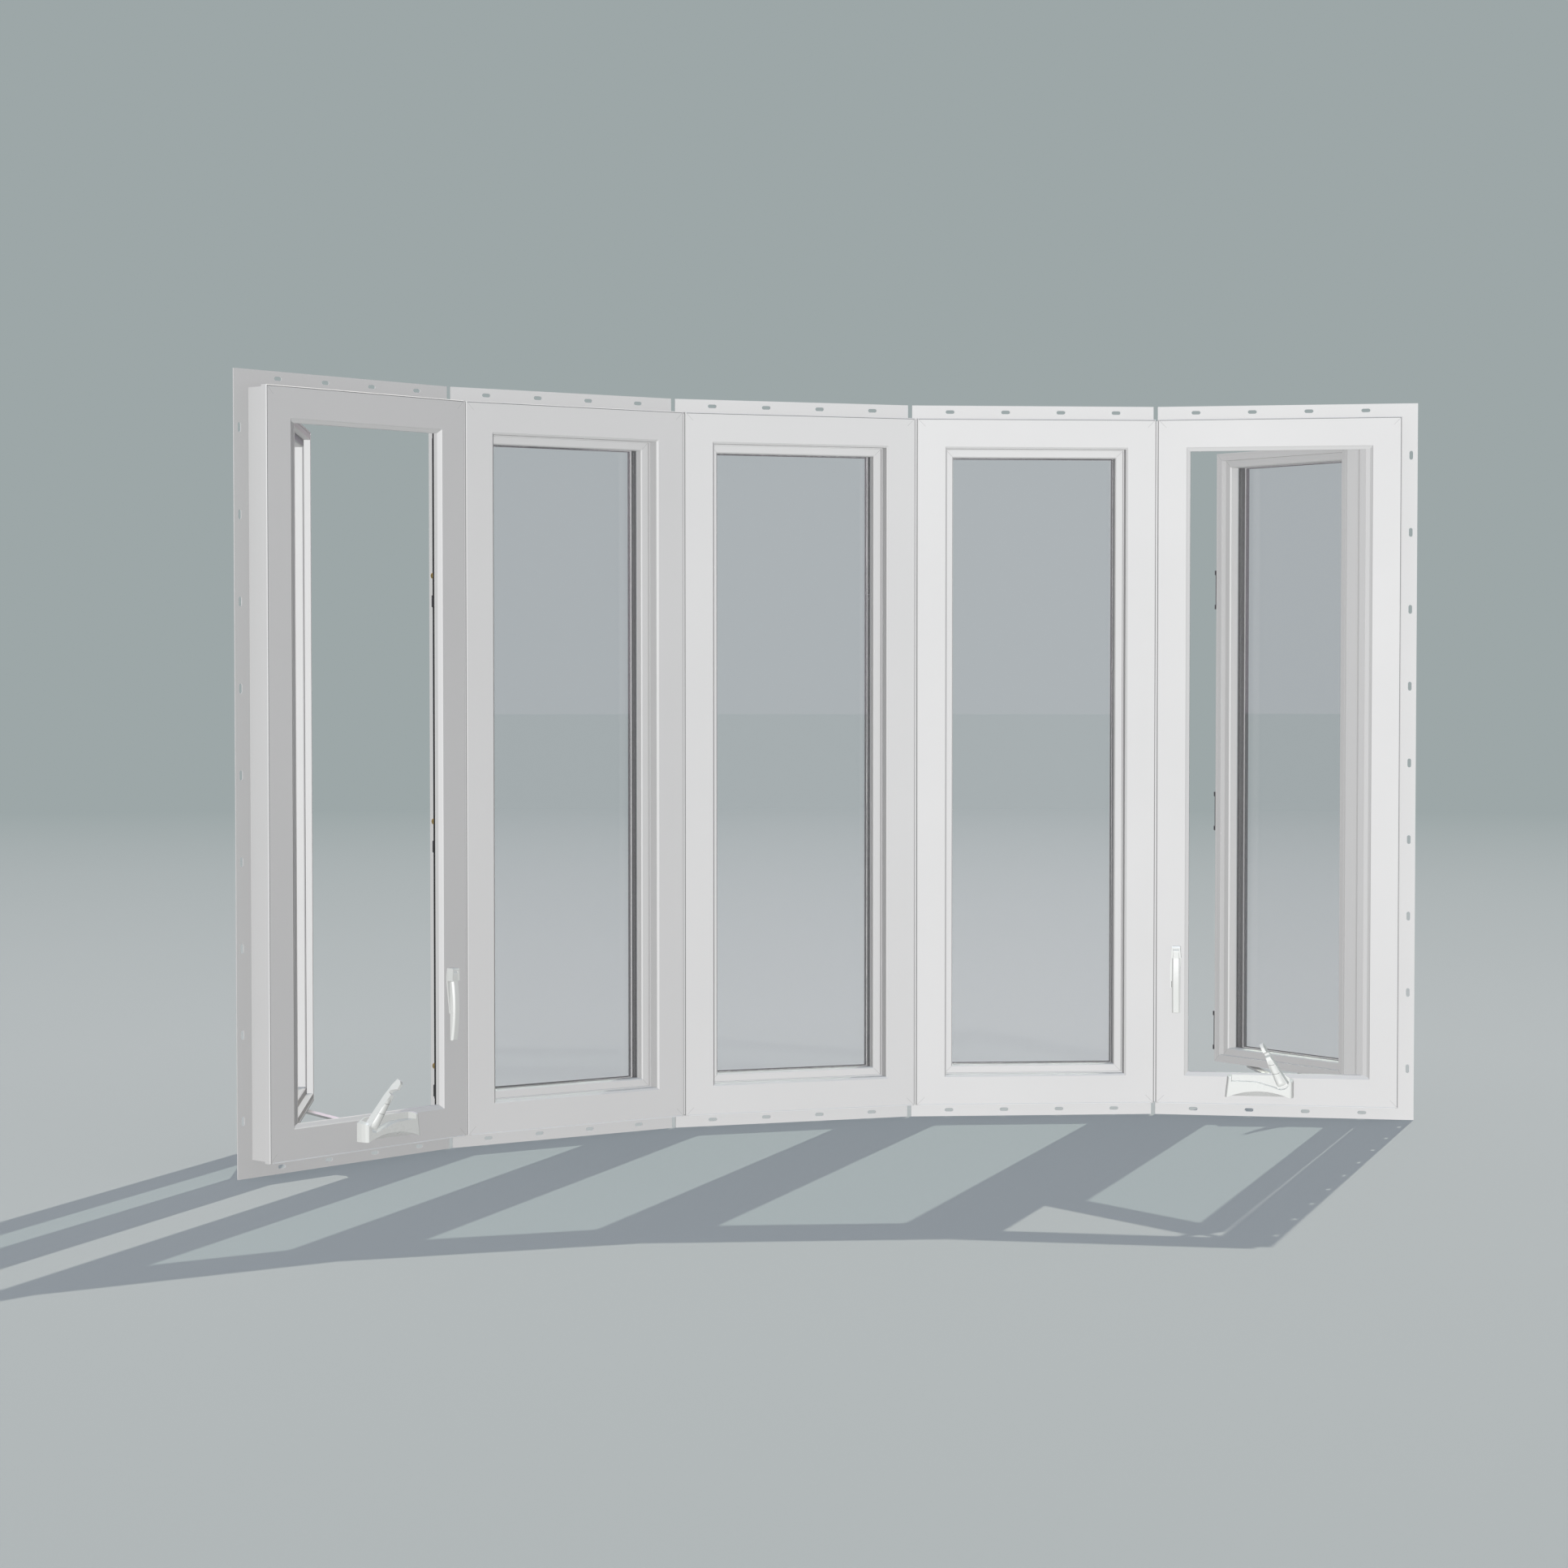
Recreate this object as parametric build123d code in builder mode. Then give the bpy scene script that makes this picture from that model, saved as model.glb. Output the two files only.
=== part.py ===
"""Five-lite bow window in white vinyl, with a crank-out casement at each end.

Every unit is laid out in its own frame: x along the unit, y outwards from its inner face,
z up from the floor. Unit 3 stands in the row frame itself, the others are turned round it.
Unit 1 is the mirror of unit 5, and unit 2 stands as unit 4 does, turned the other way.
"""
from build123d import *
import os
from math import cos, radians, sin, tan

# The bow, all lengths in millimetres and angles in degrees
UNIT_PITCH = 482.6
UNIT_ANGLE = 15.0
JOINT_GAP = 4.7
FRAME_HEIGHT = 1366.0

# Nailing fin
FIN_REACH = 29.0
FIN_SIDE_REACH = 28.0
FIN_DEPTH = 50.8
FIN_THICK = 2.0
FIN_GAP = 8.6
SLOT_LENGTH = 17.7
SLOT_WIDTH = 7.0
SLOT_EDGE = 12.7
SLOT_SPACING = 111.7
SLOT_COUNT = 4
SIDE_SLOT_SPACING = 152.4
SIDE_SLOT_COUNT = 9
SLOT_FLATS = 10

# Frame profile, insets from the frame's outer edge and depths from its inner face
EDGE_BEVEL = 1.2
FLANGE_DEPTH = 13.5
FLANGE_STEP = 3.0
FACE_WIDTH = 56.0
LIP_WIDTH = 1.6
FIXED_STOP = 59.5
FIXED_STOP_DEPTH = 26.0
CASEMENT_STOP = 63.5
CASEMENT_STOP_DEPTH = 14.5
HINGE_STOP = 70.0
LIP_SLOPE_DEPTH = 6.0
CHANNEL_INSET = 37.0
FRAME_DEPTH = 56.0

# Sash and glazing
FIXED_SASH_INSET = 46.0
CASEMENT_SASH_INSET = 50.0
SASH_FACE = 15.0
BEAD_FACE = 14.5
CASEMENT_BEAD_DEPTH = 12.0
FIXED_BEAD_DEPTH = 6.4
GLASS_DEPTH = 34.0
FIXED_GLASS_DEPTH = 25.0
FACE_GROOVE = 3.0
FACE_GROOVE_WIDTH = 2.0
SIDE_GROOVE_DEPTH = 40.0
SIDE_GROOVE_WIDTH = 7.0
SIDE_GROOVE = 4.0
PANE_THICK = 3.0
GLASS_GAP = 18.0
GLASS_BITE = 12.0
SPACER_BITE = 1.4
SPACER_WIDTH = 7.5
SASH_BACK = 10.0
SEAL_DEPTH = 5.0
SEAL_WIDTH = 5.0

# Where the open sash stands in unit 5
SASH_OPEN = 44.0
SASH_CORNER_INSET = 107.0
SASH_CORNER_DEPTH = 50.0

# Mullion between two frames
MULLION_NOSE = 2.4
MULLION_NOSE_DEPTH = 2.5
MULLION_CAP_LAP = 14.0
MULLION_CAP_THICK = 3.0

# Crank operator on the sill, unit 5
COVER_LEFT = -101.5
COVER_RIGHT = 34.5
COVER_BOTTOM = 18.0
COVER_HEIGHT = 43.0
COVER_DEPTH = 25.0
COVER_SLOPE = 5.0
COVER_PLAN = ((0.0, 0.0), (0.45, 0.5), (0.78, 2.0), (0.94, 4.0), (1.0, 6.5))
ARCH_RISE = 12.0
NEST_FLOOR = 31.0
NEST_LEVEL_END = -50.0
NEST_BACK = 4.0
CRANK_X = 10.3
CRANK_HEIGHT = 51.1
CRANK_HEEL = 9.0
CRANK_BASE = 25.0
CRANK_TIP = 11.5
CRANK_KNOB = 9.6
CRANK_NECK_START = 62.0
CRANK_NECK_END = 72.0
CRANK_LENGTH = 93.0
CRANK_THICK = 13.0
CRANK_NECK = 6.0
CRANK_KNOB_REACH = 19.0
CRANK_TAPER = 5.0
CRANK_LEAN = 24.5
CRANK_TILT = 18.0
CRANK_GAP = 10.0
HEEL_CLEARANCE = 1.5
PIN_RADIUS = 3.0
PIN_CLEARANCE = 0.08
SWING_CLEARANCE = 5.0

# Lock on the jamb by unit 4
LOCK_INSET = 40.3
LOCK_PLATE_LOW = 232.0
LOCK_PLATE_THICK = 3.0
LOCK_WIDTH = 19.8
LOCK_CAP = 5.5
LOCK_CAP_DEPTH = 16.0
LOCK_EAR = 4.0
LOCK_PIN_DEPTH = 10.0
LOCK_PIN_HEIGHT = 305.0
LOCK_TOP_ABOVE_PIN = 11.5
LEVER_TOP_BELOW_PIN = 13.0
KNUCKLE_RADIUS = 5.0
KNUCKLE_GAP = 0.4
SHOULDER_GAP = 1.6
LEVER_LOW = 183.0
LEVER_WIDTH = 16.4
LEVER_BACK = 8.0
LEVER_FRONT = 15.0
LEVER_BULGE = 18.5
LEVER_ROUND = 3.0

# Hinge and operator arms
ARM_WIDTH = 16.0
ARM_THICK = 3.0
LOCK_BAR_WIDTH = 14.0
LOCK_BAR_THICK = 3.0
ROLLER_HEIGHTS = (161.0, 616.0, 1071.0)
KEEPER_HEIGHTS = (144.0, 602.5, 1063.0)
KEEPER_LENGTH = 80.0
KEEPER_THICK = 4.0

# Values worked out from the sizes above
HALF_PITCH = UNIT_PITCH / 2
FRAME_WIDTH = UNIT_PITCH - JOINT_GAP
HALF_FRAME = FRAME_WIDTH / 2
FRAME_BOTTOM = FIN_REACH
FRAME_TOP = FRAME_BOTTOM + FRAME_HEIGHT
TOTAL_HEIGHT = FRAME_TOP + FIN_REACH
REAR_BOTTOM = FRAME_BOTTOM + FLANGE_STEP
REAR_TOP = FRAME_TOP - FLANGE_STEP
CASEMENT_FACE_DEPTH = CASEMENT_STOP_DEPTH + SEAL_DEPTH
GLASS_THICK = 2 * PANE_THICK + GLASS_GAP
BEAD_INSET = SASH_FACE + BEAD_FACE

os.makedirs("parts", exist_ok=True)


def unit_plane(number):
    """The frame of one unit: x along it, y outwards, z up, origin under its inner face."""
    turn = (3 - number) * UNIT_ANGLE
    x, y = 0.0, -(FIN_DEPTH + FIN_THICK / 2)
    steps = abs(number - 3)
    side = 1 if number > 3 else -1
    for step in range(steps):
        near = step * UNIT_ANGLE
        far = (step + 1) * UNIT_ANGLE
        x += side * HALF_PITCH * (cos(radians(near)) + cos(radians(far)))
        y -= HALF_PITCH * (sin(radians(near)) + sin(radians(far)))
    along = (cos(radians(turn)), sin(radians(turn)), 0)
    return Plane(origin=(x, y, 0), x_dir=along, z_dir=(0, 0, 1))


def save(solid, label):
    solid.label = label
    export_step(solid, f"parts/{label}.step")


def save_in_unit(solid, number, label):
    """Place a piece laid out in a unit's own frame, and write it."""
    save(unit_plane(number).location * solid, label)


def save_casement(solid, label):
    """Write a piece of unit 5, and its mirror image as the piece of unit 1."""
    placed = unit_plane(5).location * solid
    save(placed, f"{label}_5")
    save(mirror(placed, about=Plane.YZ), f"{label}_1")


def save_pair(solid, label):
    """Write a piece of unit 5 and its mirror image in unit 1 as one node."""
    placed = unit_plane(5).location * solid
    pieces = list(placed.solids()) + list(mirror(placed, about=Plane.YZ).solids())
    save(Compound(children=pieces), label)


def ring(width, height, outline, bottom=0.0):
    """A profile of (inset, depth) points carried round a rectangle with mitred corners."""
    half = width / 2
    start = (0, 0, bottom)
    with BuildPart() as swept:
        with BuildLine() as path:
            Polyline(
                start,
                (half, 0, bottom),
                (half, 0, bottom + height),
                (-half, 0, bottom + height),
                (-half, 0, bottom),
                start,
            )
        with BuildSketch(Plane(origin=start, x_dir=(0, 0, 1), z_dir=(-1, 0, 0))):
            with BuildLine():
                Polyline(*outline, close=True)
            make_face()
        sweep(path=path.line, transition=Transition.RIGHT)
    return swept.part


def block(x_range, depth_range, z_range):
    """A plain box between two values on each axis."""
    low = (x_range[0], depth_range[0], z_range[0])
    size = (x_range[1] - x_range[0], depth_range[1] - depth_range[0], z_range[1] - z_range[0])
    with BuildPart() as box:
        with Locations(low):
            Box(*size, align=(Align.MIN, Align.MIN, Align.MIN))
    return box.part


# Frames, one welded ring of extrusion for each unit
def frame_outline(stop, stop_depth, lip_depth):
    return [
        (0, EDGE_BEVEL),
        (EDGE_BEVEL, 0),
        (FACE_WIDTH, 0),
        (FACE_WIDTH + LIP_WIDTH, LIP_WIDTH),
        (stop, lip_depth),
        (stop, stop_depth),
        (CHANNEL_INSET, stop_depth),
        (CHANNEL_INSET, FRAME_DEPTH),
        (FLANGE_STEP, FRAME_DEPTH),
        (FLANGE_STEP, FLANGE_DEPTH),
        (0, FLANGE_DEPTH),
    ]


fixed_frame = ring(
    FRAME_WIDTH,
    FRAME_HEIGHT,
    frame_outline(FIXED_STOP, FIXED_STOP_DEPTH, LIP_WIDTH * 2),
    FRAME_BOTTOM,
)
for number in (2, 3, 4):
    save_in_unit(fixed_frame, number, f"frame_{number}")

with BuildPart() as casement_frame:
    add(
        ring(
            FRAME_WIDTH,
            FRAME_HEIGHT,
            frame_outline(CASEMENT_STOP, CASEMENT_STOP_DEPTH, LIP_SLOPE_DEPTH),
            FRAME_BOTTOM,
        )
    )
    # The stop is wider on the hinge jamb
    with BuildSketch(Plane.XY.offset(FRAME_BOTTOM + CASEMENT_STOP - LIP_WIDTH)):
        with BuildLine():
            Polyline(
                (HALF_FRAME - CASEMENT_STOP + LIP_WIDTH, LIP_SLOPE_DEPTH - LIP_WIDTH),
                (HALF_FRAME - HINGE_STOP, LIP_SLOPE_DEPTH + LIP_WIDTH),
                (HALF_FRAME - HINGE_STOP, CASEMENT_STOP_DEPTH),
                (HALF_FRAME - CASEMENT_STOP + LIP_WIDTH, CASEMENT_STOP_DEPTH),
                close=True,
            )
        make_face()
    extrude(amount=FRAME_HEIGHT - 2 * (CASEMENT_STOP - LIP_WIDTH))
save_casement(casement_frame.part, "frame")

# Nailing fins with slots, in the plane behind the frame's inner face
fin_half = HALF_PITCH + FIN_DEPTH * tan(radians(UNIT_ANGLE / 2)) - FIN_GAP / 2
slot_low = SLOT_EDGE
slot_high = TOTAL_HEIGHT - SLOT_EDGE
fin_face = Plane(origin=(0, FIN_DEPTH, 0), x_dir=(1, 0, 0), z_dir=(0, -1, 0))

# The centre unit's slots have true round ends, the others a few flats at each end
with BuildSketch() as faceted_slot:
    Rectangle(SLOT_LENGTH - SLOT_WIDTH, SLOT_WIDTH)
    with Locations((-(SLOT_LENGTH - SLOT_WIDTH) / 2, 0), ((SLOT_LENGTH - SLOT_WIDTH) / 2, 0)):
        RegularPolygon(SLOT_WIDTH / 2, SLOT_FLATS, major_radius=True)

for numbers, round_ends in (((3,), True), ((2, 4), False)):
    with BuildPart() as fixed_fin:
        with BuildSketch(fin_face):
            for low, high in ((0, REAR_BOTTOM), (REAR_TOP, TOTAL_HEIGHT)):
                with Locations((0, (low + high) / 2)):
                    Rectangle(2 * fin_half, high - low)
            for height in (slot_low, slot_high):
                with Locations((0, height)):
                    with GridLocations(SLOT_SPACING, 0, SLOT_COUNT, 1):
                        if round_ends:
                            SlotOverall(SLOT_LENGTH, SLOT_WIDTH, mode=Mode.SUBTRACT)
                        else:
                            add(faceted_slot.sketch, mode=Mode.SUBTRACT)
        extrude(amount=-FIN_THICK)
    for number in numbers:
        save_in_unit(fixed_fin.part, number, f"nail_fin_{number}")

fin_outer = HALF_PITCH + FIN_SIDE_REACH
rear_half = HALF_FRAME - FLANGE_STEP
with BuildPart() as end_fin:
    with BuildSketch(fin_face):
        with Locations(((fin_outer - fin_half) / 2, TOTAL_HEIGHT / 2)):
            Rectangle(fin_outer + fin_half, TOTAL_HEIGHT)
        inner_right = rear_half
        inner_left = -fin_half - 1
        with Locations(((inner_right + inner_left) / 2, TOTAL_HEIGHT / 2)):
            Rectangle(inner_right - inner_left, REAR_TOP - REAR_BOTTOM, mode=Mode.SUBTRACT)
        for height in (slot_low, slot_high):
            with Locations((0, height)):
                with GridLocations(SLOT_SPACING, 0, SLOT_COUNT, 1):
                    add(faceted_slot.sketch, mode=Mode.SUBTRACT)
        with Locations((fin_outer - SLOT_EDGE, TOTAL_HEIGHT / 2)):
            with GridLocations(0, SIDE_SLOT_SPACING, 1, SIDE_SLOT_COUNT):
                add(faceted_slot.sketch, rotation=90, mode=Mode.SUBTRACT)
    extrude(amount=-FIN_THICK)
save_casement(end_fin.part, "nail_fin")


# Mullions, each filling the wedge between two frames
def plan_point(number, x, depth):
    """A point of a unit's plan, in the row frame."""
    point = unit_plane(number).from_local_coords(Vector(x, depth, 0))
    return (point.X, point.Y)


for number in (1, 2, 3, 4):
    side = HALF_FRAME - FLANGE_STEP
    nose = HALF_PITCH - MULLION_NOSE / 2
    half_outline = (
        (nose, MULLION_NOSE_DEPTH),
        (nose, FLANGE_DEPTH),
        (side, FLANGE_DEPTH),
        (side, FRAME_DEPTH),
        (side - MULLION_CAP_LAP, FRAME_DEPTH),
        (side - MULLION_CAP_LAP, FRAME_DEPTH + MULLION_CAP_THICK),
    )
    left = [plan_point(number, x, depth) for x, depth in half_outline]
    right = [plan_point(number + 1, -x, depth) for x, depth in reversed(half_outline)]
    with BuildPart() as mullion:
        with BuildSketch(Plane.XY.offset(REAR_BOTTOM)):
            with BuildLine():
                Polyline(*left, *right, close=True)
            make_face()
        extrude(amount=REAR_TOP - REAR_BOTTOM)
    save(mullion.part, f"mullion_{number}_{number + 1}")


# Sashes, glazing beads and glass, laid out with the sash face at a given depth
def sash_outline(face_depth, glass_depth):
    leg = face_depth + glass_depth + GLASS_THICK
    back = leg + SASH_BACK
    side = back - SIDE_GROOVE_DEPTH + SIDE_GROOVE_WIDTH
    return [
        (0, face_depth),
        (FACE_GROOVE, face_depth),
        (FACE_GROOVE, face_depth + 1),
        (FACE_GROOVE + FACE_GROOVE_WIDTH, face_depth + 1),
        (FACE_GROOVE + FACE_GROOVE_WIDTH, face_depth),
        (SASH_FACE, face_depth),
        (SASH_FACE, leg),
        (BEAD_INSET, leg),
        (BEAD_INSET - 2, back),
        (0, back),
        (0, side),
        (SIDE_GROOVE, side),
        (SIDE_GROOVE, side - SIDE_GROOVE_WIDTH),
        (0, side - SIDE_GROOVE_WIDTH),
    ]


def bead_outline(face_depth, bead_depth, glass_depth):
    face = face_depth + bead_depth
    glass = face_depth + glass_depth
    return [
        (SASH_FACE, face),
        (BEAD_INSET - 2, face),
        (BEAD_INSET, face + 2),
        (BEAD_INSET, glass - 2),
        (BEAD_INSET - 1, glass),
        (SASH_FACE, glass),
    ]


def glazing(inset, face_depth, bead_depth, glass_depth):
    """Sash, bead, panes and spacer of one lite, as a dict of solids."""
    bottom = FRAME_BOTTOM + inset
    width = FRAME_WIDTH - 2 * inset
    height = FRAME_HEIGHT - 2 * inset
    front = face_depth + glass_depth
    edge = BEAD_INSET - GLASS_BITE
    with BuildPart() as panes:
        for depth in (front, front + PANE_THICK + GLASS_GAP):
            with BuildSketch(Plane(origin=(0, depth, bottom), x_dir=(1, 0, 0), z_dir=(0, -1, 0))):
                with Locations((0, height / 2)):
                    Rectangle(width - 2 * edge, height - 2 * edge)
            extrude(amount=-PANE_THICK)
    spacer_inset = BEAD_INSET - SPACER_BITE
    spacer_outline = [
        (spacer_inset - SPACER_WIDTH, front + PANE_THICK),
        (spacer_inset, front + PANE_THICK),
        (spacer_inset, front + PANE_THICK + GLASS_GAP),
        (spacer_inset - SPACER_WIDTH, front + PANE_THICK + GLASS_GAP),
    ]
    return {
        "sash": ring(width, height, sash_outline(face_depth, glass_depth), bottom),
        "bead": ring(width, height, bead_outline(face_depth, bead_depth, glass_depth), bottom),
        "glass": panes.part,
        "spacer": ring(width, height, spacer_outline, bottom),
    }


spacers = []
fixed_lite = glazing(FIXED_SASH_INSET, FIXED_STOP_DEPTH, FIXED_BEAD_DEPTH, FIXED_GLASS_DEPTH)
for number in (2, 3, 4):
    for name in ("sash", "bead", "glass"):
        save_in_unit(fixed_lite[name], number, f"{name}_{number}")
    spacers += (unit_plane(number).location * fixed_lite["spacer"]).solids()

# The casement sash is laid out from its hinge corner, then swung open about it
casement_lite = glazing(CASEMENT_SASH_INSET, 0, CASEMENT_BEAD_DEPTH, GLASS_DEPTH)
sash_half = HALF_FRAME - CASEMENT_SASH_INSET
corner = (HALF_FRAME - SASH_CORNER_INSET, SASH_CORNER_DEPTH, 0)
sash_place = Location(corner, (0, 0, 1), -SASH_OPEN) * Location((-sash_half, 0, 0))
for name in ("sash", "bead", "glass"):
    save_casement(sash_place * casement_lite[name], name)
open_spacer = unit_plane(5).location * sash_place * casement_lite["spacer"]
spacers += open_spacer.solids() + mirror(open_spacer, about=Plane.YZ).solids()
save(Compound(children=spacers), "spacer_bars")

# Weather seals on the back of the casement stops
seal_ring = ring(
    FRAME_WIDTH,
    FRAME_HEIGHT,
    [
        (CASEMENT_STOP - SEAL_WIDTH, CASEMENT_STOP_DEPTH),
        (CASEMENT_STOP, CASEMENT_STOP_DEPTH),
        (CASEMENT_STOP - 1, CASEMENT_FACE_DEPTH),
        (CASEMENT_STOP - SEAL_WIDTH + 1, CASEMENT_FACE_DEPTH),
    ],
    FRAME_BOTTOM,
)
save_pair(seal_ring, "weather_seals")

# Hinge tracks and arms, which carry the open sash from head and sill
channel_floor = FRAME_BOTTOM + CHANNEL_INSET
sash_under = FRAME_BOTTOM + CASEMENT_SASH_INSET
hinge_height = sash_under - channel_floor


def sash_point(along, depth):
    """A point of the open sash's plan in unit 5, from its hinge corner."""
    swung = sash_place * Location((sash_half - along, depth, 0))
    return (swung.position.X, swung.position.Y)


def bar(start, end, width, low, high):
    """A flat bar with round ends between two plan points."""
    run = Vector(end[0] - start[0], end[1] - start[1])
    centre = Vector((start[0] + end[0]) / 2, (start[1] + end[1]) / 2, low)
    with BuildPart() as solid:
        with BuildSketch(Plane(origin=centre, x_dir=run.normalized(), z_dir=(0, 0, 1))):
            SlotCenterToCenter(run.length, width)
        extrude(amount=high - low)
    return solid.part


TRACK_DEPTH = 44.0
track_z = channel_floor + ARM_THICK
arm_z = track_z + ARM_THICK
bracket_z = sash_under - ARM_THICK
shoe_point = (HALF_FRAME - SASH_CORNER_INSET - ARM_WIDTH, TRACK_DEPTH)
pivot_point = (HALF_FRAME - CHANNEL_INSET - ARM_WIDTH, TRACK_DEPTH)

with BuildPart() as hinge_low:
    add(
        block(
            (-HALF_FRAME / 3, HALF_FRAME - CHANNEL_INSET),
            (TRACK_DEPTH - ARM_WIDTH / 2, TRACK_DEPTH + ARM_WIDTH / 2),
            (channel_floor, track_z),
        )
    )
    add(bar(shoe_point, sash_point(20, 30), ARM_WIDTH, track_z, sash_under))
    add(bar(sash_point(20, 30), sash_point(190, 30), ARM_WIDTH, bracket_z, sash_under))
    add(bar(pivot_point, sash_point(150, 30), ARM_WIDTH, track_z, arm_z))
    add(bar(sash_point(149, 30), sash_point(151, 30), ARM_WIDTH, track_z, sash_under))
middle = Plane.XY.offset(FRAME_BOTTOM + FRAME_HEIGHT / 2)
hinge_pair = Compound(children=[hinge_low.part, mirror(hinge_low.part, about=middle)])
save_casement(hinge_pair, "hinge")

# Operator arm from the sill to the sash's bottom rail
operator_foot = (CRANK_X, TRACK_DEPTH - ARM_WIDTH)
sash_guide = sash_point(300, 30)
with BuildPart() as operator_arm:
    add(
        block(
            (CRANK_X - 25, CRANK_X + 25),
            (CASEMENT_STOP_DEPTH, TRACK_DEPTH - ARM_WIDTH / 2 - 1),
            (channel_floor, arm_z),
        )
    )
    add(bar(operator_foot, sash_guide, ARM_WIDTH, arm_z, bracket_z))
    add(bar(sash_point(255, 30), sash_point(315, 30), ARM_WIDTH, bracket_z, sash_under))
save_casement(operator_arm.part, "operator_arm")

# Operator cover on the sill face, lofted from its foot on the frame to its front
cover_low = FRAME_BOTTOM + COVER_BOTTOM
cover_top = cover_low + COVER_HEIGHT
face_plane = Plane(origin=(0, 0, 0), x_dir=(1, 0, 0), z_dir=(0, -1, 0))
pivot_z = FRAME_BOTTOM + CRANK_HEIGHT
pivot = (CRANK_X, -CRANK_GAP, pivot_z)
tilt = radians(CRANK_TILT)
pin_plane = Plane(origin=pivot, x_dir=(1, 0, 0), z_dir=(0, -cos(tilt), -sin(tilt)))
heel_swing = Vector(CRANK_BASE / 2, CRANK_HEEL).length + HEEL_CLEARANCE
nest_end = CRANK_X - CRANK_LENGTH - SWING_CLEARANCE
with BuildPart() as cover:
    for share, inset in COVER_PLAN:
        with BuildSketch(face_plane.offset(COVER_DEPTH * share)):
            left = COVER_LEFT + inset * 0.8
            right = COVER_RIGHT - inset
            top = cover_top - inset * 0.6
            with BuildLine():
                Polyline(
                    (left, cover_low),
                    (left + COVER_SLOPE, top),
                    (right - 16, top),
                    (right, top - 9),
                    (right, cover_low),
                )
                ThreePointArc(
                    (right, cover_low),
                    ((left + right) / 2 - 12, cover_low + 0.3 + ARCH_RISE * share),
                    (left, cover_low),
                )
            make_face()
    loft(ruled=True)
    # Nest for the folded crank, open to the top and the front
    with BuildSketch(face_plane.offset(NEST_BACK)):
        with BuildLine():
            floor_z = cover_low + NEST_FLOOR
            l1 = Polyline((nest_end, cover_top + 1), (nest_end, floor_z), (NEST_LEVEL_END, floor_z))
            l2 = Spline(
                (NEST_LEVEL_END, floor_z),
                (CRANK_X - heel_swing * 1.5, pivot_z - heel_swing * 0.55),
                (CRANK_X - heel_swing * 0.5, pivot_z - heel_swing * 0.866),
                tangents=((1, 0), (1, -0.5)),
            )
            l3 = ThreePointArc(
                l2 @ 1,
                (CRANK_X + heel_swing * 0.5, pivot_z - heel_swing * 0.866),
                (CRANK_X + heel_swing, pivot_z),
            )
            Polyline(l3 @ 1, (CRANK_X + heel_swing, cover_top + 1), l1 @ 0)
        make_face()
    extrude(amount=COVER_DEPTH, mode=Mode.SUBTRACT)
    with BuildSketch(pin_plane):
        Circle(PIN_RADIUS)
    extrude(amount=CRANK_THICK + 1)
    with BuildSketch(pin_plane):
        Circle(PIN_RADIUS)
    extrude(amount=NEST_BACK - CRANK_GAP - 1.5)
save_casement(cover.part, "operator_cover")

# Folding crank: its front outline and its side outline cut each other, drawn upright
with BuildPart() as crank:
    with BuildSketch(face_plane):
        with BuildLine():
            Polyline(
                (-CRANK_BASE / 2, -CRANK_HEEL),
                (CRANK_BASE / 2, -CRANK_HEEL),
                (CRANK_TIP / 2, CRANK_NECK_START),
                (CRANK_KNOB / 2, CRANK_NECK_END),
                (CRANK_KNOB / 2, CRANK_LENGTH),
                (-CRANK_KNOB / 2, CRANK_LENGTH),
                (-CRANK_KNOB / 2, CRANK_NECK_END),
                (-CRANK_TIP / 2, CRANK_NECK_START),
                close=True,
            )
        make_face()
    extrude(amount=CRANK_KNOB_REACH, taper=CRANK_TAPER)
    with BuildSketch(Plane.YZ):
        with BuildLine():
            Polyline(
                (0, -CRANK_HEEL),
                (-CRANK_THICK, -CRANK_HEEL),
                (-CRANK_THICK + 1, CRANK_NECK_START / 2),
                (-CRANK_THICK, CRANK_NECK_START),
                (-CRANK_NECK, CRANK_NECK_START + 2),
                (-CRANK_NECK - 1, CRANK_NECK_END - 3),
                (-CRANK_THICK, CRANK_NECK_END + 1),
                (-CRANK_KNOB_REACH, CRANK_NECK_END + 4),
                (-CRANK_KNOB_REACH, CRANK_LENGTH - 6),
                (-CRANK_KNOB_REACH + 4, CRANK_LENGTH - 1),
                (-CRANK_NECK - 2, CRANK_LENGTH),
                (-CRANK_NECK / 2, CRANK_NECK_END + 6),
                (-0.5, CRANK_NECK_START - 8),
                close=True,
            )
        make_face()
    extrude(amount=CRANK_BASE, both=True, mode=Mode.INTERSECT)
    with BuildSketch(face_plane):
        Circle(PIN_RADIUS + PIN_CLEARANCE)
    extrude(amount=CRANK_THICK + 2, mode=Mode.SUBTRACT)
crank_place = Location(pivot, (CRANK_TILT, 0, 0)) * Location((0, 0, 0), (0, -CRANK_LEAN, 0))
save_casement(crank_place * crank.part, "crank")

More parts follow.
